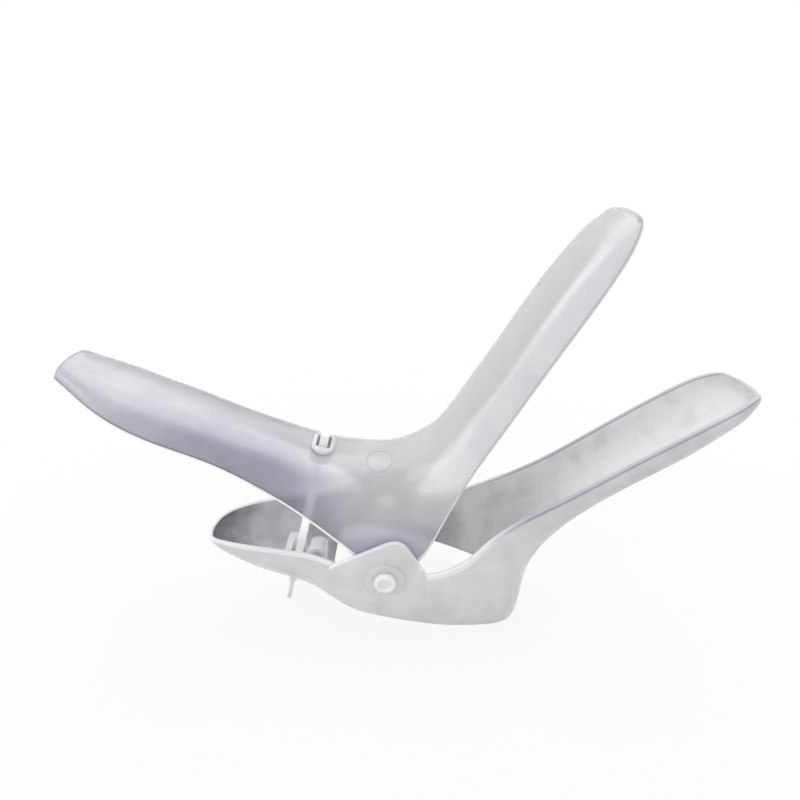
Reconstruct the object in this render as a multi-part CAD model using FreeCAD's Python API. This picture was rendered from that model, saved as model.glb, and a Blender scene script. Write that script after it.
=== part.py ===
import FreeCAD, Part
import math
import os

V = FreeCAD.Vector

# All lengths are in millimetres. +X runs towards the blades, +Y is the far side, +Z is up.
# The pieces are modelled about the pivot axis, then moved so that the origin is the middle of
# the base of the bounding box.

# Plastic walls and general clearances
LEAF_WALL = 1.5
RUNNING_GAP = 0.3
EAR_GAP = 0.4
SHAFT_GAP = 0.05
OVERCUT = 12.0

# Lower leaf: handle, mouth and blade
MOUTH_HALF_WIDTH = 20.0
HANDLE_HALF_WIDTH = 14.0
HANDLE_REACH = 54.2
HANDLE_RIM_HEIGHT = 4.2
HANDLE_DEPTH = 16.2
BLADE_REACH = 108.4
LOWER_BLADE_PITCH = 34.5
BLADE_HALF_WIDTH = 11.8
BLADE_DEPTH = 10.4
LOWER_BLADE_DROP = 11.0
SLICE_SLOPE = -0.25
SLICE_HEIGHT = -10.2
MOUTH_BACK = -16.0
MOUTH_FLOOR_DROP = 14.0
EAR_PEAK = (4.4, 14.0)
EAR_BACK = (-15.5, 3.9)
EAR_FRONT = (11.2, 1.6)
EAR_DROP = 9.0
EAR_ROUNDING = 4.6
BOSS_RADIUS = 5.4
BOSS_RISE = 0.4

# Upper leaf: lever, bridge and blade
UPPER_BLADE_PITCH = 60.5
UPPER_BLADE_DROP = 6.4
UPPER_TIP_REACH = 109.8
LEVER_PITCH = 31.0
LEVER_REACH = 97.8
LEVER_DEPTH = 11.0
LEVER_LEAN = 22.0
LEVER_RIM_SHIFT = 1.3
LEVER_HALF_WIDTH = 15.0
LEVER_RIM_LIFT = 5.0
BRIDGE_HEIGHT = 29.8
INNER_EAR_RADIUS = 8.4

# Pivot pins
PIN_RADIUS = 2.0
PIN_HEAD_RADIUS = 3.0
PIN_HEAD_RISE = 1.7
PIN_DISH_DEPTH = 0.9
PIN_DISH_RADIUS = 2.0
PIN_FLANGE_RADIUS = 2.9
PIN_FLANGE_THICKNESS = 1.0

# Ratchet strut and its socket on the lever
STRUT_TOP = (-17.5, 31.4)
STRUT_TILT = 14.54
STRUT_BELOW_PIN = 59.2
STRUT_ABOVE_PIN = 4.2
STRUT_THICKNESS = 2.3
STRUT_WIDTH = 6.0
STRUT_TOOTH_PITCH = 2.4
STRUT_TOOTH_DEPTH = 0.75
STRUT_TEETH = 9
STRUT_PLAIN_END = 2.0
TAIL_LENGTH = 9.0
TAIL_THICKNESS = 1.3
TAIL_WIDTH = 3.0
SOCKET_PIN_RADIUS = 1.0
SOCKET_LENGTH = 7.0
SOCKET_WIDTH = 11.0
SOCKET_RISE = 0.8
SOCKET_DROP = 5.0
SOCKET_SLOT_LENGTH = 4.0

# Guide block and release tongue in the handle
GUIDE_TOP = -5.0
GUIDE_HALF_WIDTH = 6.2
GUIDE_WALL = 2.0
GUIDE_MIDDLE = -8.5
TONGUE_THICKNESS = 1.2
TONGUE_HALF_WIDTH = 2.8
TONGUE_SPAN = 5.4
TONGUE_TOP = -4.2
TONGUE_LIFT = 1.8
TONGUE_BEND_RADIUS = 2.2
PAWL_HEIGHT = 1.4

# Travel of the upper leaf from the pose shown, in degrees, and the strut's share of it
CLOSING_TRAVEL = 26.0
OPENING_TRAVEL = 12.0
STRUT_SWING_RATIO = -0.36


def arch_points(rim, deep, half_width, fullness, count=9):
    """Points of an arch from one rim to the other, half_width either side, reaching deep."""
    points = []
    for index in range(count):
        turn = math.pi * index / (count - 1)
        side = math.cos(turn)
        reach = max(math.sin(turn), 0.0) ** (2.0 / fullness)
        across = math.copysign(abs(side) ** (2.0 / fullness), side)
        if index in (0, count - 1):
            reach = 0.0
        points.append(V(rim[0] + (deep[0] - rim[0]) * reach, -half_width * across,
                        rim[1] + (deep[1] - rim[1]) * reach))
    return points


def arch_wire(rim, deep, half_width, fullness, lift=0.0):
    """Closed section: the arch, two straight sides of length lift past the rim, and a lid."""
    points = arch_points(rim, deep, half_width, fullness)
    inward = points[len(points) // 2] - V(rim[0], 0, rim[1])
    inward.normalize()
    shares = [index / (len(points) - 1) for index in range(len(points))]
    curve = Part.BSplineCurve()
    curve.interpolate(Points=points, Parameters=shares)
    edges = [curve.toShape()]
    start = points[0]
    end = points[-1]
    if lift > 0.0:
        start_top = start - inward * lift
        end_top = end - inward * lift
        edges.append(Part.makeLine(end, end_top))
        edges.append(Part.makeLine(end_top, start_top))
        edges.append(Part.makeLine(start_top, start))
    else:
        edges.append(Part.makeLine(end, start))
    return Part.Wire(edges)


def inset(section, wall):
    """The section's inner outline, one wall inside the outer one."""
    rim, deep, half_width, fullness = section
    depth = math.dist(rim, deep)
    share = (depth - wall) / depth
    inner_deep = (rim[0] + (deep[0] - rim[0]) * share, rim[1] + (deep[1] - rim[1]) * share)
    return (rim, inner_deep, half_width - wall, fullness)


def leaf_hollow(sections, start_cap, end_cap):
    """The space inside a leaf, reaching past its rim."""
    hollow = [inset(s, LEAF_WALL) for s in sections]
    if start_cap:
        hollow[0] = pulled_in(hollow[0], hollow[1])
    if end_cap:
        hollow[-1] = pulled_in(hollow[-1], hollow[-2])
    return Part.makeLoft([arch_wire(*s, lift=OVERCUT) for s in hollow], True, False)


def leaf_outside(sections):
    """The leaf's outer form as a full solid up to its rim."""
    return Part.makeLoft([arch_wire(*s) for s in sections], True, False)


def pulled_in(section, neighbour):
    """An end section of the hollow, moved one wall towards its neighbour."""
    rim, deep, half_width, fullness = section
    gap = math.dist(rim, neighbour[0])
    share = LEAF_WALL / gap
    moved_rim = tuple(a + (b - a) * share for a, b in zip(rim, neighbour[0]))
    moved_deep = tuple(a + (b - a) * share for a, b in zip(deep, neighbour[1]))
    return (moved_rim, moved_deep, max(half_width, 0.6), fullness)


def along(pitch, distance, drop):
    """Point at a distance along a line of this pitch that passes drop below the pivot."""
    angle = math.radians(pitch)
    return (distance * math.cos(angle) + drop * math.sin(angle),
            distance * math.sin(angle) - drop * math.cos(angle))


def blade_sections(pitch, drop, reach, side, stations):
    """Sections square to a blade; side is -1 for a trough below its rim and 1 for an arch."""
    angle = math.radians(pitch)
    normal = (-math.sin(angle) * side, math.cos(angle) * side)
    sections = []
    for share, width, depth, sink, fullness in stations:
        x, z = along(pitch, reach * share, drop)
        rim = (x + normal[0] * sink, z + normal[1] * sink)
        size = BLADE_DEPTH * depth
        deep = (rim[0] + normal[0] * size, rim[1] + normal[1] * size)
        sections.append((rim, deep, BLADE_HALF_WIDTH * width, fullness))
    return sections


# Share of the blade's reach, then width and depth as shares of the blade's own, how far the
# rim sinks towards the back of the leaf, and how boxy the arch is.
TIP_STATIONS = [
    (0.80, 1.00, 0.94, 0.0, 2.6),
    (0.88, 0.98, 0.83, 0.2, 2.5),
    (0.94, 0.89, 0.66, 0.7, 2.4),
    (0.97, 0.75, 0.50, 1.2, 2.2),
    (0.988, 0.56, 0.36, 1.8, 2.1),
    (0.997, 0.34, 0.22, 2.4, 2.0),
]


# Share of the lever's reach, rise above its straight line as a share of the largest rise, width
# and depth as shares of the lever's own, and how boxy the arch is.
LEVER_STATIONS = [
    (1.0, 0.72, 0.52, 0.42, 2.4),
    (0.96, 0.66, 0.62, 0.46, 2.4),
    (0.9, 0.58, 0.78, 0.54, 2.3),
    (0.8, 0.50, 0.91, 0.67, 2.2),
    (0.7, 0.62, 0.93, 0.76, 2.2),
    (0.55, 0.94, 0.91, 0.80, 2.2),
    (0.4, 0.98, 0.97, 1.00, 2.2),
]


def disc(radius, y_low, y_high, centre=(0.0, 0.0)):
    """A round plate across the object, between two Y planes."""
    return Part.makeCylinder(radius, y_high - y_low, V(centre[0], y_low, centre[1]), V(0, 1, 0))


def both_sides(shape):
    """The shape and its mirror image in the middle plane."""
    return [shape, shape.mirror(V(0, 0, 0), V(0, 1, 0))]


def slice_z(x):
    """Height of the plane that slices the mouth open."""
    return SLICE_HEIGHT + SLICE_SLOPE * (x - MOUTH_BACK)


def mouth_cut():
    """Everything below the slicing plane of the mouth, its back leaning out past square."""
    low = -60.0
    far = 60.0
    top = slice_z(MOUTH_BACK)
    outline = [V(MOUTH_BACK, 0, top), V(far, 0, slice_z(far)), V(far, 0, low),
               V(MOUTH_BACK - 1.3 * SLICE_SLOPE * (low - top), 0, low), V(MOUTH_BACK, 0, top)]
    wedge = Part.Face(Part.makePolygon(outline)).extrude(V(0, 2 * OVERCUT + 2 * MOUTH_HALF_WIDTH, 0))
    wedge.translate(V(0, -MOUTH_HALF_WIDTH - OVERCUT, 0))
    return wedge


EAR_OUTER = MOUTH_HALF_WIDTH
EAR_INNER = MOUTH_HALF_WIDTH - LEAF_WALL
INNER_EAR_OUTER = EAR_INNER - EAR_GAP
INNER_EAR_INNER = INNER_EAR_OUTER - LEAF_WALL


def lower_sections():
    """Sections of the lower leaf from the end of its handle to the tip of its blade."""
    stations = [(0.47, 1.0, 1.12, 0.0, 2.6), (0.62, 0.99, 0.98, 0.0, 2.6)] + TIP_STATIONS
    blade = blade_sections(LOWER_BLADE_PITCH, LOWER_BLADE_DROP, BLADE_REACH, -1, stations)
    width = HANDLE_HALF_WIDTH
    rim = HANDLE_RIM_HEIGHT
    floor = rim - HANDLE_DEPTH
    end = -HANDLE_REACH
    deep = slice_z(0.0) - MOUTH_FLOOR_DROP
    mouth = MOUTH_HALF_WIDTH
    return [
        ((end, rim - 2.6), (end + 0.2, rim - 4.4), width * 0.18, 2.0),
        ((end + 2.2, rim - 1.7), (end + 2.8, rim - 6.2), width * 0.42, 2.1),
        ((end + 6.5, rim - 0.7), (end + 7.6, rim - 9.0), width * 0.64, 2.2),
        ((end + 14.0, rim), (end + 15.0, rim - 12.6), width * 0.83, 2.3),
        ((end + 27.2, rim), (end + 27.2, floor), width, 2.6),
        ((-20.5, rim), (-20.5, floor - 1.6), width + 1.6, 3.0),
        ((-12.5, rim - 0.2), (-11.0, floor - 8.0), mouth - 1.0, 3.6),
        ((-3.0, rim - 1.4), (0.0, deep), mouth, 4.0),
        ((7.0, rim - 2.6), (13.0, deep - 1.0), mouth, 4.0),
        ((15.5, rim - 2.9), (28.0, deep + 0.5), mouth - 0.8, 3.6),
        ((22.0, rim - 0.8), (38.4, slice_z(37.6) - 3.5), mouth - 2.6, 3.2),
        ((28.5, 8.0), (42.4, -10.0), mouth - 5.2, 2.9),
        ((34.5, 11.8), (45.4, -2.4), mouth - 7.0, 2.7),
    ] + blade


def ear_plate():
    """Flat ear round the pivot: a long slope behind, a rounded peak and a short front."""
    sides = [EAR_BACK, EAR_PEAK, EAR_FRONT, (EAR_FRONT[0], -EAR_DROP), (EAR_BACK[0] + EAR_DROP, -EAR_DROP)]
    corners = [V(x, EAR_INNER, z) for x, z in sides]
    plate = Part.Face(Part.makePolygon(corners + [corners[0]])).extrude(V(0, EAR_OUTER - EAR_INNER, 0))
    peak = [e for e in plate.Edges if e.BoundBox.ZMin > EAR_PEAK[1] - 0.01]
    return plate.makeFillet(EAR_ROUNDING, peak)


def make_lower_leaf(outside, hollow):
    """Handle, two ears, open mouth and blade trough in one moulding."""
    leaf = outside.cut(hollow).fuse(tongue_seat(outside))
    ear = ear_plate().fuse(disc(BOSS_RADIUS, EAR_OUTER - 0.2, EAR_OUTER + BOSS_RISE))
    for piece in both_sides(ear):
        leaf = leaf.fuse(piece)
    leaf = leaf.cut(mouth_cut()).cut(strut_slot())
    leaf = leaf.cut(disc(INNER_EAR_RADIUS + 2 * RUNNING_GAP, -EAR_INNER, EAR_INNER))
    for piece in both_sides(disc(PIN_RADIUS, EAR_INNER - 1.0, EAR_OUTER + 2.0)):
        leaf = leaf.cut(piece)
    return leaf.removeSplitter()


def upper_sections():
    """Sections of the upper leaf from the end of its lever to the tip of its blade."""
    lever = []
    angle = math.radians(LEVER_PITCH)
    lean = math.radians(LEVER_LEAN)
    for share, rise, width, depth, fullness in LEVER_STATIONS:
        run = LEVER_REACH * share
        half = LEVER_HALF_WIDTH * width
        rim = (LEVER_RIM_SHIFT - run * math.cos(angle), run * math.sin(angle) + LEVER_RIM_LIFT * rise)
        deep = (rim[0] + LEVER_DEPTH * depth * math.sin(lean),
                rim[1] + LEVER_DEPTH * depth * math.cos(lean))
        lever.append((rim, deep, half, fullness))
    side = INNER_EAR_OUTER
    top = BRIDGE_HEIGHT
    bridge = [
        ((-22.0, 18.3), (-16.0, top + 1.2), side - 1.8, 2.2),
        ((-12.0, 9.8), (-8.6, top + 0.2), side - 0.4, 2.3),
        ((-4.0, 3.0), (-2.4, top), side, 2.4),
        ((4.0, 1.2), (3.2, top + 0.7), side, 2.4),
        ((9.6, 4.6), (7.4, top + 2.2), side - 0.2, 2.4),
        ((14.8, 13.6), (10.6, top + 3.9), side - 1.6, 2.4),
        ((20.7, 25.4), (14.2, top + 6.2), side - 3.2, 2.5),
    ]
    stations = [(0.46, 1.03, 1.06, 0.0, 2.6), (0.62, 1.0, 1.0, 0.0, 2.6)] + TIP_STATIONS
    blade = blade_sections(UPPER_BLADE_PITCH, UPPER_BLADE_DROP, UPPER_TIP_REACH, 1, stations)
    return lever + bridge + blade


def make_upper_leaf():
    """Lever, bridge over the mouth and blade in one moulding, with inner ears and a socket."""
    sections = upper_sections()
    leaf = leaf_outside(sections).cut(leaf_hollow(sections, False, True))
    for piece in both_sides(disc(INNER_EAR_RADIUS, INNER_EAR_INNER, INNER_EAR_OUTER)):
        leaf = leaf.fuse(piece)
    for piece in both_sides(disc(PIN_RADIUS + SHAFT_GAP, INNER_EAR_INNER - 1.0, INNER_EAR_OUTER + 1.0)):
        leaf = leaf.cut(piece)
    leaf = leaf.fuse(socket_collar())
    leaf = leaf.cut(socket_slot()).cut(socket_pin_bore())
    return leaf.removeSplitter()


def on_strut(shape):
    """Moves a shape drawn about a hanging vertical strut onto the tilted strut's axis."""
    shape.rotate(V(0, 0, 0), V(0, 1, 0), STRUT_TILT)
    shape.translate(V(STRUT_TOP[0], 0, STRUT_TOP[1]))
    return shape


def rounded_plate(length, width, z_low, z_high):
    """An upright plate with half-round ends across, length along X and width along Y."""
    radius = length / 2.0
    straight = width / 2.0 - radius
    box = Part.makeBox(length, 2 * straight, z_high - z_low, V(-radius, -straight, z_low))
    for y in (-straight, straight):
        box = box.fuse(Part.makeCylinder(radius, z_high - z_low, V(0, y, z_low)))
    return box.removeSplitter()


def socket_collar():
    """Oval collar on the lever's ridge that carries the strut's hinge pin."""
    return on_strut(rounded_plate(SOCKET_LENGTH, SOCKET_WIDTH, -SOCKET_DROP + SOCKET_RISE,
                                  SOCKET_RISE + 0.4))


def socket_slot():
    """Slot through the collar, wide enough for the strut to swing."""
    width = STRUT_WIDTH + 2 * RUNNING_GAP
    slot = Part.makeBox(SOCKET_SLOT_LENGTH, width, 3 * OVERCUT,
                        V(-SOCKET_SLOT_LENGTH / 2.0, -width / 2.0, -OVERCUT))
    return on_strut(slot)


def socket_pin_bore():
    """Blind bore in both walls of the collar for the hinge pin."""
    reach = SOCKET_WIDTH / 2.0 - 0.8
    return on_strut(disc(SOCKET_PIN_RADIUS, -reach, reach))


def make_strut():
    """Straight flat bar with saw teeth on its blade side and a thin tail."""
    half = STRUT_THICKNESS / 2.0
    long_end = STRUT_BELOW_PIN - TAIL_LENGTH
    outline = [(-half, STRUT_ABOVE_PIN), (half, STRUT_ABOVE_PIN)]
    for tooth in range(STRUT_TEETH):
        z = -(long_end - STRUT_PLAIN_END - (STRUT_TEETH - tooth) * STRUT_TOOTH_PITCH)
        outline.append((half, z))
        outline.append((half - STRUT_TOOTH_DEPTH, z - 0.25))
        outline.append((half, z - STRUT_TOOTH_PITCH + 0.15))
    outline.append((half, -long_end))
    outline.append((-half, -long_end))
    corners = [V(x, -STRUT_WIDTH / 2.0, z) for x, z in outline]
    bar = Part.Face(Part.makePolygon(corners + [corners[0]])).extrude(V(0, STRUT_WIDTH, 0))
    tail = Part.makeBox(TAIL_THICKNESS, TAIL_WIDTH, TAIL_LENGTH + 0.5,
                        V(-TAIL_THICKNESS / 2.0, -TAIL_WIDTH / 2.0, -STRUT_BELOW_PIN))
    bar = bar.fuse(tail)
    bar = bar.cut(disc(SOCKET_PIN_RADIUS + SHAFT_GAP, -STRUT_WIDTH, STRUT_WIDTH))
    return on_strut(bar.removeSplitter())


def make_strut_pin():
    """Short round pin across the collar, on which the strut swings."""
    reach = SOCKET_WIDTH / 2.0 - 0.8
    return on_strut(disc(SOCKET_PIN_RADIUS, -reach, reach))


def make_pivot_pin(side):
    """Button-headed pin through one pair of ears, with a dished head and an inner flange."""
    head_start = EAR_OUTER + BOSS_RISE
    head = disc(PIN_HEAD_RADIUS, head_start, head_start + PIN_HEAD_RISE)
    top_edges = [e for e in head.Edges if e.BoundBox.YMin > head_start + PIN_HEAD_RISE - 0.01]
    head = head.makeChamfer(PIN_HEAD_RISE * 0.3, top_edges)
    dish = Part.makeCone(PIN_DISH_RADIUS * 0.7, PIN_DISH_RADIUS, PIN_DISH_DEPTH,
                         V(0, head_start + PIN_HEAD_RISE - PIN_DISH_DEPTH, 0), V(0, 1, 0))
    flange_end = INNER_EAR_INNER - RUNNING_GAP
    shaft = disc(PIN_RADIUS, flange_end - 0.2, head_start + 0.2)
    flange = disc(PIN_FLANGE_RADIUS, flange_end - PIN_FLANGE_THICKNESS, flange_end)
    pin = head.cut(dish).fuse(shaft).fuse(flange).removeSplitter()
    if side < 0:
        pin = pin.mirror(V(0, 0, 0), V(0, 1, 0))
    return pin


def turned(point, degrees):
    """A side-view point turned about the pivot, positive towards further opening."""
    angle = math.radians(degrees)
    return (point[0] * math.cos(angle) - point[1] * math.sin(angle),
            point[0] * math.sin(angle) + point[1] * math.cos(angle))


def strut_x(z, opening=0.0):
    """X of the strut's middle line at a height, with the upper leaf opened further."""
    top = turned(STRUT_TOP, opening)
    tilt = math.radians(STRUT_TILT - opening * (1.0 + STRUT_SWING_RATIO))
    return top[0] + (z - top[1]) * math.tan(tilt)


def strut_slot():
    """Waisted opening that clears the strut over its whole travel."""
    heights = (GUIDE_TOP + 1.0, GUIDE_MIDDLE, 2 * GUIDE_MIDDLE - GUIDE_TOP - 1.0)
    steps = 8
    travel = CLOSING_TRAVEL + OPENING_TRAVEL
    poses = [-CLOSING_TRAVEL + travel * step / steps for step in range(steps + 1)]
    half = STRUT_THICKNESS / 2.0 / math.cos(math.radians(STRUT_TILT + CLOSING_TRAVEL))
    left = []
    right = []
    for z in heights:
        middles = [strut_x(z, pose) for pose in poses]
        left.append((min(middles) - half - RUNNING_GAP, z))
        right.append((max(middles) + half + RUNNING_GAP, z))
    width = STRUT_WIDTH + 2 * RUNNING_GAP
    corners = [V(x, -width / 2.0, z) for x, z in left + right[::-1]]
    return Part.Face(Part.makePolygon(corners + [corners[0]])).extrude(V(0, width, 0))


def guide_floor():
    """Height of the inner floor of the handle."""
    return HANDLE_RIM_HEIGHT - HANDLE_DEPTH + LEAF_WALL


def slot_sides(z):
    """X of the two sides of the strut's opening at a height."""
    box = strut_slot().slice(V(0, 0, 1), z)[0].BoundBox
    return box.XMin, box.XMax


def make_guide_block(hollow):
    """Housing on the handle's floor, open towards the blades, that the strut runs through."""
    left, right = slot_sides(GUIDE_MIDDLE)
    start = slot_sides(GUIDE_TOP)[0] - GUIDE_WALL
    low = guide_floor() - LEAF_WALL
    block = Part.makeBox(right - start, 2 * GUIDE_HALF_WIDTH, GUIDE_TOP - low,
                         V(start, -GUIDE_HALF_WIDTH, low))
    upright = [e for e in block.Edges if abs(e.tangentAt(e.FirstParameter).z) > 0.9]
    block = block.makeFillet(GUIDE_WALL * 0.6, upright)
    open_width = STRUT_WIDTH + 2 * RUNNING_GAP
    open_side = Part.makeBox(OVERCUT, open_width, OVERCUT,
                             V(left + STRUT_THICKNESS, -open_width / 2.0, low))
    return block.cut(strut_slot()).cut(open_side).common(hollow)


def tongue_start():
    """X of the tongue's side nearest the strut."""
    return slot_sides(TONGUE_TOP)[1]


def tongue_seat(outside):
    """Raised pad on the handle's floor that carries the tongue's foot."""
    start = tongue_start() + TONGUE_SPAN / 2.0
    low = guide_floor() - OVERCUT
    pad = Part.makeBox(MOUTH_BACK - start, 2 * GUIDE_HALF_WIDTH, guide_floor() - low,
                       V(start, -GUIDE_HALF_WIDTH, low))
    return pad.common(outside)


def strip_block(left, length, top, radius):
    """Upright block across the handle with both top edges rounded."""
    width = 2 * TONGUE_HALF_WIDTH
    floor = guide_floor() + RUNNING_GAP
    block = Part.makeBox(length, width, top - floor, V(left, -width / 2.0, floor))
    edges = [e for e in block.Edges if abs(e.tangentAt(e.FirstParameter).y) > 0.9
             and e.BoundBox.ZMin > top - 0.01]
    return block.makeFillet(radius, edges)


def make_release_tongue():
    """Arched springy strip with a pawl beside the strut and its foot on the seat."""
    left = tongue_start()
    thick = TONGUE_THICKNESS
    width = 2 * TONGUE_HALF_WIDTH
    floor = guide_floor() + RUNNING_GAP
    arch = strip_block(left, TONGUE_SPAN, TONGUE_TOP, TONGUE_BEND_RADIUS)
    under = strip_block(left + thick, TONGUE_SPAN - 2 * thick, TONGUE_TOP - thick,
                        TONGUE_BEND_RADIUS - thick)
    lifted = Part.makeBox(TONGUE_SPAN / 2.0, width, TONGUE_LIFT, V(left, -width / 2.0, floor))
    low = floor + TONGUE_LIFT
    reach = slot_sides(low)[1] + RUNNING_GAP
    nose = [V(left + thick / 2.0, 0, low), V(reach, 0, low), V(left + thick / 2.0, 0, low + PAWL_HEIGHT)]
    pawl = Part.Face(Part.makePolygon(nose + [nose[0]])).extrude(V(0, width, 0))
    pawl.translate(V(0, -width / 2.0, 0))
    return arch.cut(under).cut(lifted).fuse(pawl).removeSplitter()


def body_parts():
    """Every piece by its node name, about the pivot."""
    sections = lower_sections()
    outside = leaf_outside(sections)
    hollow = leaf_hollow(sections, True, True)
    shapes = {
        "lower_leaf": make_lower_leaf(outside, hollow),
        "upper_leaf": make_upper_leaf(),
        "pivot_pin_near": make_pivot_pin(-1),
        "pivot_pin_far": make_pivot_pin(1),
        "ratchet_strut": make_strut(),
        "strut_pin": make_strut_pin(),
        "guide_block": make_guide_block(hollow),
        "release_tongue": make_release_tongue(),
    }
    return shapes


def main():
    os.makedirs("parts", exist_ok=True)
    shapes = body_parts()
    box = Part.makeCompound(list(shapes.values())).optimalBoundingBox(False)
    shift = V(-(box.XMin + box.XMax) / 2.0, 0, -box.ZMin)
    for name, shape in shapes.items():
        shape.translate(shift)
        shape.exportStep("parts/" + name + ".step")
        print(name, len(shape.Solids), shape.isValid(), round(shape.Volume, 2))
    hinge = V(tongue_start() + TONGUE_SPAN - TONGUE_THICKNESS / 2.0, 0, guide_floor() + RUNNING_GAP)
    print("pivot", shift, "strut pin", shift + V(STRUT_TOP[0], 0, STRUT_TOP[1]), "tongue", shift + hinge)
    print("mouth rim", slice_z(0.0), "overall", box.XLength, box.YLength, box.ZLength)


main()
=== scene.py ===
import math

import bmesh
import bpy
import numpy as np
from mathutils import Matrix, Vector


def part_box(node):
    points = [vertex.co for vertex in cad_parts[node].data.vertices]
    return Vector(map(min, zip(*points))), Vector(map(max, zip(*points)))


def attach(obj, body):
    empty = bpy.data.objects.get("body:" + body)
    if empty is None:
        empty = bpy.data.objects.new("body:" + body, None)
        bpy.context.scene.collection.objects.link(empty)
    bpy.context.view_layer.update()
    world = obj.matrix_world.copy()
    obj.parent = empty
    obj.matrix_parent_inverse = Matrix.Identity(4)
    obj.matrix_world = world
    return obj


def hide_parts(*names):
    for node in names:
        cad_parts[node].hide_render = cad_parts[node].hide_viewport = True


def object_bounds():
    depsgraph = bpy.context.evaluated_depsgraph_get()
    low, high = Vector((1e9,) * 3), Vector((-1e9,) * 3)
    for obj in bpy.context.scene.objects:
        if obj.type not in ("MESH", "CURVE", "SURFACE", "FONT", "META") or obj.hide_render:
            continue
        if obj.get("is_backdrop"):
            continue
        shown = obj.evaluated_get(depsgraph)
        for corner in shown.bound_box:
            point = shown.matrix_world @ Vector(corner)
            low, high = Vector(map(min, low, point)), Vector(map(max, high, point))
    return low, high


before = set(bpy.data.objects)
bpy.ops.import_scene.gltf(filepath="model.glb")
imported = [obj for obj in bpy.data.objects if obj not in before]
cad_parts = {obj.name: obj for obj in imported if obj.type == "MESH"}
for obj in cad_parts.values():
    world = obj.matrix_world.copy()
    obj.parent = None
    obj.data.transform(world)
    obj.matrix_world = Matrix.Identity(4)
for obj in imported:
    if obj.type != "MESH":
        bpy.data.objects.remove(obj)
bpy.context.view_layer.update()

# The lower leaf: a spoon-shaped handle, a mouth with two ears and a trough blade, moulded in
# one piece from milky polypropylene 1.5 mm thick. Its rims are slightly rounded, and the mouth
# is open below along one slanting plane.
MM = 0.001
WALL = 1.5 * MM
BEAD = 0.5 * MM
DOME = 1.6 * MM
RIM_TURN = 0.035
# Material slots. The rim's plastic is paler, a painted highlight; the inside's carries painted shade.
OUTSIDE, RIM, INSIDE = 0, 1, 2
pin_low, pin_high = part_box("pivot_pin_near")
PIVOT = np.array([(pin_low[0] + pin_high[0]) / 2, 0.0, (pin_low[2] + pin_high[2]) / 2])


def smooth_through(knots, values, at):
    """Natural cubic spline through the values, read at other places along the knots.

    The bends solve h[i-1] b[i-1] + 2 (h[i-1] + h[i]) b[i] + h[i] b[i+1] = 6 x change of slope,
    and between two knots the value is the cubic with those bends at its ends.
    """
    gap = np.diff(knots)
    slope = np.diff(values) / gap
    system = np.eye(len(knots))
    inside = np.arange(1, len(knots) - 1)
    system[inside, inside - 1] = gap[:-1]
    system[inside, inside] = 2.0 * (gap[:-1] + gap[1:])
    system[inside, inside + 1] = gap[1:]
    bend = np.zeros(len(knots))
    bend[1:-1] = 6.0 * np.diff(slope)
    bend = np.linalg.solve(system, bend)
    left = np.clip(np.searchsorted(knots, at, side="right") - 1, 0, len(gap) - 1)
    far = at - knots[left]
    h = gap[left]
    start = slope[left] - h * (2.0 * bend[left] + bend[left + 1]) / 6.0
    return (values[left] + far * start + far ** 2 * bend[left] / 2.0
            + far ** 3 * (bend[left + 1] - bend[left]) / (6.0 * h))


def leaf_knots(stations):
    """Distance along the leaf to each station: the mean of its steps along the rim and the ridge."""
    rim = np.hypot(np.diff(stations[:, 0]), np.diff(stations[:, 1]))
    ridge = np.hypot(np.diff(stations[:, 2]), np.diff(stations[:, 3]))
    return np.concatenate([[0.0], np.cumsum((rim + ridge) / 2.0)])


def leaf_surface(stations, along, round_turn, scale, inset):
    """Point of a leaf at a distance along it and a turn from the near rim to the far rim.

    A section is half a superellipse |y/half|^n + |reach/depth|^n = 1, in polar form
    r = (|cos t|^n + |sin t|^n)^(-1/n), standing on the rim and reaching to the deep point.
    The rim, the deep point, the half width and n follow splines along the leaf.
    """
    knots = leaf_knots(stations)
    rim_x, rim_z, deep_x, deep_z, half, power = [
        smooth_through(knots, stations[:, column], along) for column in range(6)]
    depth = np.hypot(deep_x - rim_x, deep_z - rim_z)
    down_x = (deep_x - rim_x) / depth
    down_z = (deep_z - rim_z) / depth
    depth = (depth - BEAD - inset) * scale
    half = np.maximum(half - inset, 0.3 * MM) * scale
    cosine = np.cos(round_turn)
    sine = np.sin(round_turn)
    radius = (np.abs(cosine) ** power + np.abs(sine) ** power) ** (-1.0 / power)
    reach = BEAD + sine * radius * depth
    shape = np.broadcast(along, round_turn).shape
    points = np.empty(shape + (3,))
    points[..., 0] = PIVOT[0] + rim_x + down_x * reach
    points[..., 1] = -cosine * radius * half
    points[..., 2] = PIVOT[2] + rim_z + down_z * reach
    lift = np.empty(shape + (3,))
    lift[..., 0] = -down_x * BEAD
    lift[..., 1] = 0.0
    lift[..., 2] = -down_z * BEAD
    return points, lift


def closed_grid(loops, bead=0):
    """Faces of a grid of closed loops.

    With a bead the first loop is a C: two arches joined by two rounds of bead points each. It is
    closed by a strip between the arches and one face over each round.
    """
    rows, around = loops.shape[:2]
    row, turn = np.meshgrid(np.arange(rows - 1), np.arange(around), indexing="ij")
    after = (turn + 1) % around
    faces = np.stack([row * around + turn, row * around + after,
                      (row + 1) * around + after, (row + 1) * around + turn], axis=-1)
    faces = faces.reshape(-1, 4).tolist()
    if bead:
        half = around // 2
        arch = half - bead
        for j in range(arch - 1):
            across = half + arch - 1 - j
            faces.append([j, j + 1, across - 1, across])
        faces.append(list(range(arch - 1, half + 1)))
        faces.append(list(range(half + arch - 1, around)) + [0])
    return faces


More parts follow.
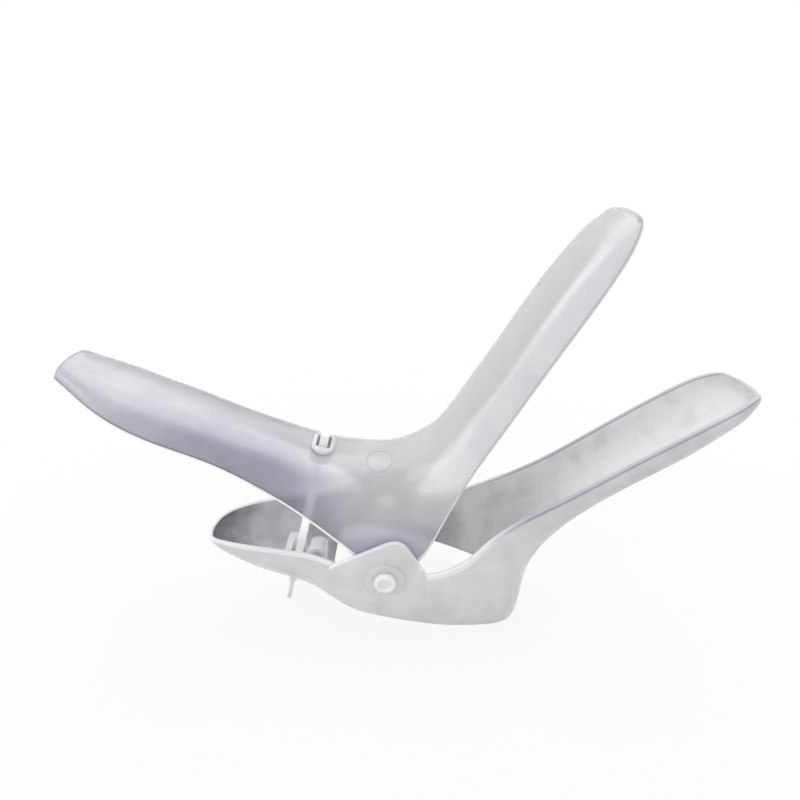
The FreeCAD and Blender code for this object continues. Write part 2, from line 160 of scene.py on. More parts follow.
def closed_piece(name, points, faces, slots=None):
    """Object from points and faces, with doubled points merged and its faces turned outwards.

    slots gives each face its material slot: OUTSIDE, RIM or INSIDE.
    """
    mesh = bpy.data.meshes.new(name)
    mesh.from_pydata(points.reshape(-1, 3).tolist(), [], faces)
    if slots:
        for _ in (OUTSIDE, RIM, INSIDE):
            mesh.materials.append(None)
        mesh.polygons.foreach_set("material_index", slots)
    work = bmesh.new()
    work.from_mesh(mesh)
    bmesh.ops.remove_doubles(work, verts=work.verts, dist=2e-6)
    bmesh.ops.dissolve_degenerate(work, edges=work.edges, dist=1e-7)
    bmesh.ops.recalc_face_normals(work, faces=work.faces)
    work.to_mesh(mesh)
    work.free()
    piece = bpy.data.objects.new(name, mesh)
    bpy.context.scene.collection.objects.link(piece)
    return piece


def leaf_shell(name, stations, open_start, rows):
    """A leaf's wall: outer arch, rounded far rim, inner arch and rounded near rim as one loop.

    The closed ends shrink to a pole as a quarter circle, and the inner surface stops one wall
    before the outer one. The row of outer faces next to each rim, RIM_TURN wide, takes the rim's
    slot, so that the rim's painted highlight reaches a little way round the edge.
    """
    length = leaf_knots(stations)[-1]
    quarter = np.linspace(0.0, math.pi / 2.0, 9)
    ahead = DOME * (1.0 - np.cos(quarter))
    first = 0.0 if open_start else DOME
    along = np.concatenate([[] if open_start else ahead[:-1],
                            np.linspace(first, length - DOME, rows), length - ahead[-2::-1]])
    scale = np.concatenate([[] if open_start else np.sin(quarter[:-1]),
                            np.ones(rows), np.sin(quarter[-2::-1])])
    start_wall = 0.0 if open_start else WALL
    inner_along = start_wall + along * (length - WALL - start_wall) / length
    even = np.linspace(0.0, math.pi, 65)[1:-1]
    turn = np.concatenate([[0.0, RIM_TURN], even, [math.pi - RIM_TURN, math.pi]])[None, :]
    outer, lift = leaf_surface(stations, along[:, None], turn, scale[:, None], 0.0)
    inner, _ = leaf_surface(stations, inner_along[:, None], turn, scale[:, None], WALL)
    over = np.linspace(0.0, math.pi, 9)[1:-1][None, :, None]
    beads = []
    for edge in (0, -1):
        middle = (outer[:, edge] + inner[:, edge])[:, None, :] / 2.0
        side = (outer[:, edge] - inner[:, edge])[:, None, :] / 2.0
        beads.append(middle + side * np.cos(over) + lift[:, edge][:, None, :] * np.sin(over))
    loops = np.concatenate([outer, beads[1], inner[:, ::-1], beads[0][:, ::-1]], axis=1)
    arch, around = outer.shape[1], loops.shape[1]
    half = around // 2
    slots = np.full(around, OUTSIDE)
    slots[0] = RIM
    slots[arch - 2:half] = RIM
    slots[half:half + arch - 1] = INSIDE
    slots[half + arch - 1:] = RIM
    faces = closed_grid(loops, beads[0].shape[1] if open_start else 0)
    cap_slots = [RIM] * (arch + 1 if open_start else 0)
    return closed_piece(name, loops, faces, np.tile(slots, len(loops) - 1).tolist() + cap_slots)


def prism(name, corners, low, high):
    """A straight prism across the leaves, from side-view corners in millimetres about the pivot."""
    outline = np.array(corners) * MM
    ring = np.stack([outline[:, 0] + PIVOT[0], np.zeros(len(outline)), outline[:, 1] + PIVOT[2]], axis=-1)
    points = np.concatenate([ring + [0.0, low * MM, 0.0], ring + [0.0, high * MM, 0.0]])
    count = len(outline)
    faces = [[k, (k + 1) % count, (k + 1) % count + count, k + count] for k in range(count)]
    faces.append(list(range(count))[::-1])
    faces.append(list(range(count, 2 * count)))
    return closed_piece(name, points, faces)


def rounded_outline(corners, radii, steps=10):
    """Closed side-view outline whose corners are quadratic curves that start a radius away."""
    corners = np.array(corners, dtype=float)
    before = np.roll(corners, 1, axis=0) - corners
    after = np.roll(corners, -1, axis=0) - corners
    reach = np.array(radii, dtype=float)[:, None]
    start = corners + before / np.linalg.norm(before, axis=1, keepdims=True) * reach
    end = corners + after / np.linalg.norm(after, axis=1, keepdims=True) * reach
    t = np.linspace(0.0, 1.0, steps)[None, :, None]
    curve = ((1 - t) ** 2 * start[:, None] + 2 * t * (1 - t) * corners[:, None] + t ** 2 * end[:, None])
    return curve.reshape(-1, 2)


def slab_rings(outline, low, high, edge):
    """Rings of a slab with rounded edges: an outline shrunk to a pole at low and at high.

    Each point is its place on the outline and its level. The edges are quarter circles, where
    the outline is pulled towards its middle by edge (1 - sin t) at the level edge (1 - cos t).
    """
    middle = outline.mean(axis=0)
    spread = np.linalg.norm(outline - middle, axis=1, keepdims=True)
    quarter = np.linspace(0.0, math.pi / 2.0, 5)
    pulls = np.concatenate([edge * (1 - np.sin(quarter)), edge * (1 - np.cos(quarter))])
    levels = np.concatenate([low + edge * (1 - np.cos(quarter)), high - edge * (1 - np.sin(quarter))])
    share = np.concatenate([[0.0 * spread], 1.0 - pulls[:, None, None] / spread, [0.0 * spread]])
    flat = middle + (outline - middle) * share
    level = np.concatenate([[low], levels, [high]])[:, None] * np.ones(len(outline))
    return np.concatenate([flat, level[..., None]], axis=-1)


def rounded_slab(name, outline, low, high, edge):
    """Plate across the leaves with rounded edges, from its side view in mm about the pivot."""
    rings = slab_rings(outline, low, high, edge)
    loops = np.stack([rings[..., 0] * MM + PIVOT[0], rings[..., 2] * MM,
                      rings[..., 1] * MM + PIVOT[2]], axis=-1)
    return closed_piece(name, loops, closed_grid(loops))


def work_solids(piece, others, operation):
    """Joins or cuts a piece by closed solids, which are then thrown away."""
    for other in others:
        work = piece.modifiers.new("work", "BOOLEAN")
        work.operation = operation
        work.solver = "EXACT"
        work.object = other
    bpy.context.view_layer.update()
    graph = bpy.context.evaluated_depsgraph_get()
    mesh = bpy.data.meshes.new_from_object(piece.evaluated_get(graph))
    piece.modifiers.clear()
    piece.data = mesh
    for other in others:
        bpy.data.objects.remove(other)


def finish_edges(piece, degrees=38.0):
    """Smooth shading with creases only where two faces meet at more than this angle."""
    piece.data.shade_smooth()
    piece.data.set_sharp_from_angle(angle=math.radians(degrees))


def blade_stations(pitch, drop, reach, side, shares):
    """Sections square to a blade; side is -1 for a trough below its rim and 1 for an arch.

    Each row of shares is the place along the blade, the width and the depth as shares of the
    blade's own, how far the rim sinks towards the ridge, and the section's power.
    """
    angle = math.radians(pitch)
    cosine, sine = math.cos(angle), math.sin(angle)
    share, width, depth, sink, power = np.array(shares).T
    out = reach * share
    rim_x = out * cosine + drop * sine - sine * side * sink
    rim_z = out * sine - drop * cosine + cosine * side * sink
    size = BLADE_DEPTH * depth
    return np.stack([rim_x, rim_z, rim_x - sine * side * size, rim_z + cosine * side * size,
                     BLADE_HALF_WIDTH * width, power], axis=-1)


def in_metres(stations):
    """Millimetres to metres for every column but the last, which is a plain number."""
    return np.array(stations, dtype=float) * [MM, MM, MM, MM, MM, 1.0]


BLADE_HALF_WIDTH = 11.8
BLADE_DEPTH = 10.4
BLADE_TIP = [
    (0.80, 1.00, 0.94, 0.0, 2.6),
    (0.88, 0.98, 0.83, 0.2, 2.5),
    (0.94, 0.91, 0.66, 0.7, 2.4),
    (0.97, 0.80, 0.50, 1.2, 2.2),
    (0.988, 0.64, 0.36, 1.8, 2.1),
    (0.997, 0.42, 0.22, 2.4, 2.0),
]
MOUTH_HALF_WIDTH = 20.0
HANDLE_HALF_WIDTH = 14.0
HANDLE_END = -54.2
HANDLE_RIM = 4.2
HANDLE_FLOOR = HANDLE_RIM - 16.2
MOUTH_BACK = -16.0


def mouth_plane(x):
    """Height of the plane along which the mouth is open below."""
    return -10.2 - 0.25 * (x - MOUTH_BACK)


MOUTH_FLOOR = mouth_plane(0.0) - 14.0
lower_stations = in_metres([
    (HANDLE_END, HANDLE_RIM - 2.6, HANDLE_END + 0.2, HANDLE_RIM - 4.4, HANDLE_HALF_WIDTH * 0.18, 2.0),
    (HANDLE_END + 2.2, HANDLE_RIM - 1.7, HANDLE_END + 2.8, HANDLE_RIM - 6.2, HANDLE_HALF_WIDTH * 0.42, 2.1),
    (HANDLE_END + 6.5, HANDLE_RIM - 0.7, HANDLE_END + 7.6, HANDLE_RIM - 9.0, HANDLE_HALF_WIDTH * 0.64, 2.2),
    (HANDLE_END + 14.0, HANDLE_RIM, HANDLE_END + 15.0, HANDLE_RIM - 12.6, HANDLE_HALF_WIDTH * 0.83, 2.3),
    (HANDLE_END + 27.2, HANDLE_RIM, HANDLE_END + 27.2, HANDLE_FLOOR, HANDLE_HALF_WIDTH, 2.6),
    (-20.5, HANDLE_RIM, -20.5, HANDLE_FLOOR - 1.6, HANDLE_HALF_WIDTH + 1.6, 3.0),
    (-12.5, HANDLE_RIM - 0.2, -11.0, HANDLE_FLOOR - 8.0, MOUTH_HALF_WIDTH - 1.0, 3.6),
    (-3.0, HANDLE_RIM - 1.4, 0.0, MOUTH_FLOOR, MOUTH_HALF_WIDTH, 4.0),
    (7.0, HANDLE_RIM - 2.6, 13.0, MOUTH_FLOOR - 1.0, MOUTH_HALF_WIDTH, 4.0),
    (15.5, HANDLE_RIM - 2.9, 28.0, MOUTH_FLOOR + 0.5, MOUTH_HALF_WIDTH - 0.8, 3.6),
    (22.0, HANDLE_RIM - 0.8, 38.4, mouth_plane(37.6) - 3.5, MOUTH_HALF_WIDTH - 2.6, 3.2),
    (28.5, 8.0, 42.4, -10.0, MOUTH_HALF_WIDTH - 5.2, 2.9),
    (34.5, 11.8, 45.4, -2.4, MOUTH_HALF_WIDTH - 7.0, 2.7),
] + blade_stations(34.5, 11.0, 108.4, -1,
                   [(0.47, 1.0, 1.12, 0.0, 2.6), (0.62, 0.99, 0.98, 0.0, 2.6)] + BLADE_TIP).tolist())
lower_leaf = leaf_shell("lower_leaf_wall", lower_stations, open_start=False, rows=190)

EAR_OUTER = 20.0
EAR_INNER = 18.5
BOSS_RADIUS = 5.4
BOSS_RISE = 0.4
CLEARANCE_RADIUS = 9.0
ear_outline = rounded_outline(
    [(-15.5, 3.9), (4.4, 14.0), (11.2, 1.6), (11.2, -9.0), (-6.5, -9.0)], [1.2, 5.2, 1.6, 1.0, 1.0])
circle = np.linspace(0.0, 2.0 * math.pi, 64, endpoint=False)
boss_outline = np.stack([np.cos(circle), np.sin(circle)], axis=-1) * BOSS_RADIUS
clearance_outline = boss_outline * (CLEARANCE_RADIUS / BOSS_RADIUS)
ears = []
for side in (-1, 1):
    for outline, low, high, edge in ((ear_outline, EAR_INNER, EAR_OUTER - 0.02, 0.45),
                                     (boss_outline, EAR_OUTER - 0.6, EAR_OUTER + BOSS_RISE, 0.3)):
        span = sorted((side * low, side * high))
        ears.append(rounded_slab("ear", outline, span[0], span[1], edge))
work_solids(lower_leaf, ears, "UNION")
below_mouth = prism("below_mouth", [
    (MOUTH_BACK, mouth_plane(MOUTH_BACK)), (60.0, mouth_plane(60.0)), (60.0, -60.0),
    (MOUTH_BACK - 16.0, -60.0)], -32.0, 32.0)
ear_clearance = rounded_slab("ear_clearance", clearance_outline, -EAR_INNER, EAR_INNER, 0.1)
work_solids(lower_leaf, [below_mouth, ear_clearance], "DIFFERENCE")
finish_edges(lower_leaf)

# On the ears the flat side keeps the outside's slot where the leaf's rim runs under it, and the
# rounded edge outside the boss takes the rim's slot, with its painted highlight.
EAR_BACK = -16.0
EAR_FRONT = 11.6
EAR_LOW = -1.0
EAR_SIDE = 17.8
FLAT_FROM = -8.0
FLAT_FACING = 0.9
EDGE_ABOVE = 3.0
EDGE_FACING = 0.97
BOSS_CLEAR = 6.0
for face in lower_leaf.data.polygons:
    x, z = (face.center.x - PIVOT[0]) / MM, (face.center.z - PIVOT[2]) / MM
    if EAR_BACK < x < EAR_FRONT and abs(face.center.y) > EAR_SIDE * MM and z > EAR_LOW:
        across = abs(face.normal.y)
        edge = across < EDGE_FACING and z > EDGE_ABOVE and math.hypot(x, z) > BOSS_CLEAR
        if face.material_index == RIM and across > FLAT_FACING and x > FLAT_FROM:
            face.material_index = OUTSIDE
        elif face.material_index == OUTSIDE and edge:
            face.material_index = RIM


def shade_and_cloud_group():
    """Tint of moulded plastic: light to dark by the painted shade on the piece, shifted by slow clouds.

    The painted shade lies on the mesh as numbers from 0 to 1. Clouds is how far a noise shifts it
    either way. Height is a fine grain for the surface.
    """
    group = bpy.data.node_groups.new("painted shade and mould cloud", "ShaderNodeTree")
    for label in ("Light", "Dark"):
        group.interface.new_socket(label, in_out="INPUT", socket_type="NodeSocketColor")
    group.interface.new_socket("Clouds", in_out="INPUT", socket_type="NodeSocketFloat")
    group.interface.new_socket("Color", in_out="OUTPUT", socket_type="NodeSocketColor")
    group.interface.new_socket("Height", in_out="OUTPUT", socket_type="NodeSocketFloat")
    nodes, links = group.nodes, group.links
    entry = nodes.new("NodeGroupInput")
    out = nodes.new("NodeGroupOutput")
    place = nodes.new("ShaderNodeTexCoord")
    shade = nodes.new("ShaderNodeAttribute")
    shade.attribute_name = "shade"
    cloud = nodes.new("ShaderNodeTexNoise")
    cloud.inputs["Scale"].default_value = 130.0
    cloud.inputs["Detail"].default_value = 4.0
    links.new(place.outputs["Object"], cloud.inputs["Vector"])
    centred = nodes.new("ShaderNodeMapRange")
    centred.inputs["From Min"].default_value = 0.3
    centred.inputs["From Max"].default_value = 0.7
    centred.inputs["To Min"].default_value = -1.0
    centred.inputs["To Max"].default_value = 1.0
    links.new(cloud.outputs["Fac"], centred.inputs["Value"])
    shifted = nodes.new("ShaderNodeMath")
    shifted.operation = "MULTIPLY_ADD"
    shifted.use_clamp = True
    links.new(centred.outputs["Result"], shifted.inputs[0])
    links.new(entry.outputs["Clouds"], shifted.inputs[1])
    links.new(shade.outputs["Fac"], shifted.inputs[2])
    mix = nodes.new("ShaderNodeMix")
    mix.data_type = "RGBA"
    links.new(shifted.outputs[0], mix.inputs[0])
    links.new(entry.outputs["Light"], mix.inputs[6])
    links.new(entry.outputs["Dark"], mix.inputs[7])
    grain = nodes.new("ShaderNodeTexNoise")
    grain.inputs["Scale"].default_value = 1500.0
    links.new(place.outputs["Object"], grain.inputs["Vector"])
    links.new(mix.outputs[2], out.inputs["Color"])
    links.new(grain.outputs["Fac"], out.inputs["Height"])
    return group


SHADE_AND_CLOUD = shade_and_cloud_group()


def milky_plastic(name, light, dark, clouds, roughness, grain, glow, clear):
    """Milky plastic: clouded tint darkened by painted shade, fine satin grain, light let some way into
    the wall.

    light and dark are its colours where the painted shade is 0 and 1. glow is the share of light
    scattered inside the wall, clear the share let straight through.
    """
    material = bpy.data.materials.new(name)
    material.use_nodes = True
    nodes, links = material.node_tree.nodes, material.node_tree.links
    shader = nodes["Principled BSDF"]
    cloud = nodes.new("ShaderNodeGroup")
    cloud.node_tree = SHADE_AND_CLOUD
    cloud.inputs["Light"].default_value = light + (1.0,)
    cloud.inputs["Dark"].default_value = dark + (1.0,)
    cloud.inputs["Clouds"].default_value = clouds
    raised = nodes.new("ShaderNodeBump")
    raised.inputs["Strength"].default_value = grain
    raised.inputs["Distance"].default_value = 0.00004
    links.new(cloud.outputs["Color"], shader.inputs["Base Color"])
    links.new(cloud.outputs["Height"], raised.inputs["Height"])
    links.new(raised.outputs["Normal"], shader.inputs["Normal"])
    shader.inputs["Roughness"].default_value = roughness
    shader.inputs["IOR"].default_value = 1.49
    shader.inputs["Subsurface Weight"].default_value = glow
    shader.inputs["Subsurface Radius"].default_value = (0.0020, 0.0020, 0.0021)
    shader.inputs["Subsurface Scale"].default_value = 1.0
    shader.inputs["Transmission Weight"].default_value = clear
    return material


def step(value, low, high):
    """Smooth step 3t^2 - 2t^3 from 0 at low to 1 at high."""
    share = np.clip((value - low) / (high - low), 0.0, 1.0)
    return share * share * (3.0 - 2.0 * share)


def paint(piece, formula):
    """Writes painted shade at every face corner: formula(x, z, |normal y|, slot), x and z in mm."""
    mesh = piece.data
    count = len(mesh.vertices)
    spots = np.empty(count * 3)
    mesh.vertices.foreach_get("co", spots)
    spots = (spots.reshape(-1, 3) - PIVOT) / MM
    facing = np.empty(count * 3)
    mesh.vertex_normals.foreach_get("vector", facing)
    facing = np.abs(facing.reshape(-1, 3)[:, 1])
    at = np.empty(len(mesh.loops), dtype=np.int32)
    mesh.loops.foreach_get("vertex_index", at)
    slot = np.empty(len(mesh.polygons), dtype=np.int32)
    mesh.polygons.foreach_get("material_index", slot)
    sides = np.empty(len(mesh.polygons), dtype=np.int32)
    mesh.polygons.foreach_get("loop_total", sides)
    shade = formula(spots[at, 0], spots[at, 2], facing[at], np.repeat(slot, sides))
    mesh.attributes.new("shade", "FLOAT", "CORNER").data.foreach_set("value", shade.astype(np.float32))


def dress(piece, plastics, body, slot, *nodes):
    """Gives a piece its plastics, body and the nodes that it stands for; slot is not used."""
    numbers = np.zeros(len(piece.data.polygons), dtype=np.int32)
    piece.data.polygons.foreach_get("material_index", numbers)
    piece.data.materials.clear()
    for plastic in plastics:
        piece.data.materials.append(plastic)
    piece.data.polygons.foreach_set("material_index", np.minimum(numbers, len(plastics) - 1))
    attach(piece, body)
    if nodes:
        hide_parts(*nodes)


def lower_painted_shade(x, z, facing, slot):
    """Painted shade: outside a little darker but on the ears, more low down and along the blade; the
    rims' painted highlight greyer along the blade, on the ears' edges and on the row under each bead;
    inside darker in the spoon, most at its far end, and low in the mouth.

    The ranges of x and z are millimetres from the pivot, those of facing are shares of 1.
    """
    ear = step(z, -10.0, -4.0) * step(x, -16.0, -10.0) * step(-x, -15.0, -9.0)
    outside = 0.12 - 0.12 * ear + 0.18 * step(-z, 5.0, 22.0) + 0.20 * step(x, 32.0, 56.0)
    edge = 0.35 * step(z, 4.0, 6.0) * step(-x, -14.0, -12.0)
    shaded_row_under_bead = step(facing, 0.4, 0.9)
    rims = (0.68 + 0.07 * shaded_row_under_bead) * step(x, 24.0, 42.0) + edge + 0.24 * shaded_row_under_bead
    spoon = 1.0 - 0.66 * step(x, -52.0, -38.0)
    mouth = 0.02 + 0.95 * step(-z, -3.0, 8.0)
    inside = spoon * step(-x, 8.0, 20.0) + mouth * step(x, -20.0, -8.0) * step(-x, -30.0, -12.0)
    return np.choose(slot, [outside, rims, inside])


# The lower leaf's painted shade darkens its plastics towards their dark colours. The rims' paler plastic is
# a painted highlight, the inside's pale colour painted light along the blade.
paint(lower_leaf, lower_painted_shade)
lower_plastic = milky_plastic("milky lower plastic", (0.87, 0.87, 0.875), (0.40, 0.40, 0.43),
                              clouds=0.13, roughness=0.24, grain=0.2, glow=0.6, clear=0.25)
lower_rim_highlight_and_shade = milky_plastic("lower plastic, painted rim highlight and shade", (0.93, 0.92, 0.95), (0.36, 0.36, 0.42),
                          clouds=0.05, roughness=0.22, grain=0.1, glow=0.5, clear=0.0)
lower_inside_light_and_shade = milky_plastic("lower plastic inside, painted light and shade", (0.95, 0.95, 0.955), (0.26, 0.255, 0.295),
                             clouds=0.19, roughness=0.22, grain=0.2, glow=0.4, clear=0.25)
dress(lower_leaf, [lower_plastic, lower_rim_highlight_and_shade, lower_inside_light_and_shade], "lower", "lower_plastic", "lower_leaf")

# The upper leaf: a long lever with a square-cut open end, a bridge over the mouth and an arched
# blade, moulded in one piece. Two round inner ears hang from its sides, and an oval collar on
# the lever's ridge holds the strut's hinge.
LEVER_PITCH = 31.0
LEVER_START = 1.3
LEVER_REACH = 97.8
LEVER_DEPTH = 11.0
LEVER_HALF_WIDTH = 15.0
LEVER_RISE = 5.0
SECTION_LEAN = 9.0
INNER_EAR_SIDE = 18.1
BRIDGE_TOP = 29.8
lever_shares = np.array([
    (1.0, 0.72, 0.52, 0.42, 2.4),
    (0.96, 0.66, 0.62, 0.46, 2.4),
    (0.9, 0.58, 0.78, 0.54, 2.3),
    (0.8, 0.50, 0.91, 0.67, 2.2),
    (0.7, 0.62, 0.93, 0.76, 2.2),
    (0.55, 0.94, 0.91, 0.80, 2.2),
    (0.4, 0.98, 0.97, 1.00, 2.2),
])


def lever_stations(shares):
    """Sections of the lever along its line from LEVER_START, each leaning back from square to it.

    Each row of shares is the place along the line, the rise of the rim above it, the width and
    the depth as shares of the lever's own, and the section's power.
    """
    share, rise, width, depth, power = shares.T
    angle = math.radians(LEVER_PITCH)
    lean = math.radians(LEVER_PITCH - SECTION_LEAN)
    rim_x = LEVER_START - LEVER_REACH * share * math.cos(angle)
    rim_z = LEVER_REACH * share * math.sin(angle) + LEVER_RISE * rise
    size = LEVER_DEPTH * depth
    return np.stack([rim_x, rim_z, rim_x + size * math.sin(lean), rim_z + size * math.cos(lean),
                     LEVER_HALF_WIDTH * width, power], axis=-1)


upper_stations = in_metres(lever_stations(lever_shares).tolist() + [
    (-22.0, 18.3, -16.0, BRIDGE_TOP + 1.2, INNER_EAR_SIDE - 1.8, 2.2),
    (-12.0, 9.8, -8.6, BRIDGE_TOP + 0.2, INNER_EAR_SIDE - 0.4, 2.3),
    (-4.0, 3.0, -2.4, BRIDGE_TOP, INNER_EAR_SIDE, 2.4),
    (4.0, 1.2, 3.2, BRIDGE_TOP + 0.7, INNER_EAR_SIDE, 2.4),
    (9.6, 4.6, 7.4, BRIDGE_TOP + 2.2, INNER_EAR_SIDE - 0.2, 2.4),
    (14.8, 13.6, 10.6, BRIDGE_TOP + 3.9, INNER_EAR_SIDE - 1.6, 2.4),
    (20.7, 25.4, 14.2, BRIDGE_TOP + 6.2, INNER_EAR_SIDE - 3.2, 2.5),
] + blade_stations(60.5, 6.4, 109.8, 1,
                   [(0.46, 1.03, 1.06, 0.0, 2.6), (0.62, 1.0, 1.0, 0.0, 2.6)] + BLADE_TIP).tolist())
upper_leaf = leaf_shell("upper_leaf_wall", upper_stations, open_start=True, rows=200)

STRUT_TOP = np.array([-17.5, 31.4])
STRUT_TILT = math.radians(14.54)


def on_strut(points):
    """Moves points drawn in millimetres about an upright strut to the tilted strut's own place."""
    x, y, z = points[..., 0], points[..., 1], points[..., 2]
    turned_x = x * math.cos(STRUT_TILT) + z * math.sin(STRUT_TILT) + STRUT_TOP[0]
    turned_z = z * math.cos(STRUT_TILT) - x * math.sin(STRUT_TILT) + STRUT_TOP[1]
    return np.stack([turned_x * MM + PIVOT[0], y * MM, turned_z * MM + PIVOT[2]], axis=-1)


def strut_slab(name, outline, low, high, edge):
    """Upright slab with rounded edges about the strut's axis, from its outline seen from above."""
    loops = on_strut(slab_rings(outline, low, high, edge))
    return closed_piece(name, loops, closed_grid(loops))


def racetrack(length, width, steps=24):
    """Outline of an oval with straight sides, length along X and width along Y."""
    radius = length / 2.0
    straight = width / 2.0 - radius
    turn = np.linspace(0.0, math.pi, steps)
    far = np.stack([radius * np.cos(turn), straight + radius * np.sin(turn)], axis=-1)
    return np.concatenate([far, -far])


COLLAR_LENGTH = 6.4
COLLAR_WIDTH = 10.6
COLLAR_FOOT = -4.2
COLLAR_TOP = 0.9
INNER_EAR_RADIUS = 8.4
collar = strut_slab("collar", racetrack(COLLAR_LENGTH, COLLAR_WIDTH), COLLAR_FOOT, COLLAR_TOP, 0.7)
inner_ear_outline = boss_outline * (INNER_EAR_RADIUS / BOSS_RADIUS)
inner_ears = [rounded_slab("inner_ear", inner_ear_outline, low, low + 1.5, 0.4)
              for low in (-INNER_EAR_SIDE, INNER_EAR_SIDE - 1.5)]
work_solids(upper_leaf, [collar] + inner_ears, "UNION")
slot_outline = np.array([(2.0, 3.3), (-2.0, 3.3), (-2.0, -3.3), (2.0, -3.3)])
work_solids(upper_leaf, [strut_slab("collar_slot", slot_outline, -12.0, 24.0, 0.05)], "DIFFERENCE")
finish_edges(upper_leaf)

# The collar's faces, found by their place about the strut's axis, take the rim's slot and with
# it a painted highlight.
for face in upper_leaf.data.polygons:
    x = (face.center.x - PIVOT[0]) / MM - STRUT_TOP[0]
    z = (face.center.z - PIVOT[2]) / MM - STRUT_TOP[1]
    across = x * math.cos(STRUT_TILT) - z * math.sin(STRUT_TILT)
    along = x * math.sin(STRUT_TILT) + z * math.cos(STRUT_TILT)
    beyond = max(abs(face.center.y) / MM - (COLLAR_WIDTH - COLLAR_LENGTH) / 2.0, 0.0)
    on_collar = math.hypot(across, beyond) < COLLAR_LENGTH / 2.0 + 0.02
    if face.material_index == OUTSIDE and on_collar and along > COLLAR_FOOT - 0.3:
        face.material_index = RIM


def upper_painted_shade(x, z, facing, slot):
    """Painted shade: outside darker on the lever, most on its flanks, low on the bridge and in a band
    on the blade's sides; the rims' painted highlight greyer along the blade and on the collar;
    inside darker throughout.
    """
    flank = 0.45 * step(facing, 0.0, 0.4) + 0.55 * step(facing, 0.35, 0.75)
    lever = flank * step(-x, -2.0, 30.0) * (0.90 - 0.78 * step(-x, 40.0, 90.0))
    bridge = 0.80 * step(-z, -19.0, -9.0) * step(-x, -24.0, -8.0)
    ridge = (0.14 + 0.16 * step(facing, 0.02, 0.25)) * step(-x, 10.0, 45.0)
    blade = 0.14 * step(facing, 0.80, 0.88) * step(x, 14.0, 26.0)
    outside = 1.0 - (1.0 - lever) * (1.0 - bridge) * (1.0 - ridge) * (1.0 - blade)
    rims = 0.65 * step(x, 2.0, 16.0) + 0.70 * step(z, 24.0, 26.0) * step(x, -32.0, -30.0)
    return np.choose(slot, [outside, rims, 0.25])


# The upper leaf's painted shade darkens its plastics towards their dark colours, lavender grey on the
# outside. The rims' paler plastic is a painted highlight.
paint(upper_leaf, upper_painted_shade)
upper_plastic = milky_plastic("milky upper plastic", (0.855, 0.85, 0.86), (0.25, 0.235, 0.345),
                              clouds=0.05, roughness=0.19, grain=0.3, glow=0.5, clear=0.55)
upper_rim_highlight_and_shade = milky_plastic("upper plastic, painted rim highlight and shade", (0.95, 0.94, 0.96), (0.60, 0.60, 0.63),
                          clouds=0.04, roughness=0.3, grain=0.1, glow=0.5, clear=0.0)
upper_inside_shade = milky_plastic("upper plastic inside, painted shade", (0.84, 0.83, 0.85), (0.36, 0.35, 0.42),
                             clouds=0.08, roughness=0.18, grain=0.3, glow=0.3, clear=0.8)
dress(upper_leaf, [upper_plastic, upper_rim_highlight_and_shade, upper_inside_shade], "upper", "upper_plastic", "upper_leaf")

# The ring left by the mould's gate: a faint raised oval line on the ridge over the mouth, part
# of the same moulding.
GATE_TUBE = 0.10 * MM
GATE_STATION = 9
GATE_OFFSET = 1.0 * MM
GATE_HALF_LENGTH = 4.4 * MM
GATE_TURN = 1.28
GATE_HALF_TURN = 0.20


def gate_ring():
    """Thin round ring laid on the bridge: a small circle carried round an oval on the surface."""
    turn = np.linspace(0.0, 2.0 * math.pi, 72, endpoint=False)[:, None]
    centre_along = leaf_knots(upper_stations)[GATE_STATION] + GATE_OFFSET
    oval_along = centre_along + GATE_HALF_LENGTH * np.cos(turn)
    oval_turn = GATE_TURN + GATE_HALF_TURN * np.sin(turn)
    spot, _ = leaf_surface(upper_stations, oval_along, oval_turn, 1.0, 0.0)
    wider, _ = leaf_surface(upper_stations, oval_along, oval_turn, 1.0, -0.5 * MM)
    raised = wider - spot
    raised /= np.linalg.norm(raised, axis=-1, keepdims=True)
    forward = np.roll(spot, -1, axis=0) - np.roll(spot, 1, axis=0)
    forward /= np.linalg.norm(forward, axis=-1, keepdims=True)
    beside = np.cross(forward, raised)
    around = np.linspace(0.0, 2.0 * math.pi, 10, endpoint=False)[None, :, None]
    loops = spot + GATE_TUBE * (np.cos(around) * beside + np.sin(around) * raised)
    loops = np.concatenate([loops, loops[:1]])
    return closed_piece("gate_ring", loops, closed_grid(loops))


gate = gate_ring()
finish_edges(gate, 80.0)
dress(gate, [upper_plastic], "upper", "upper_plastic")

# The two pivot pins: white button heads with a round dish, pressed through the ears from each
# side and swelling to a flange inside.
PIN_SEAT = 20.4
PIN_FACE = 22.1
PIN_FLANGE = 16.3
PIN_HEAD_RADIUS = 3.0
PIN_HEAD_ROUND = 0.75
PIN_SHANK_RADIUS = 2.0
PIN_DISH_RADIUS = 2.0
PIN_DISH_DEPTH = 0.9


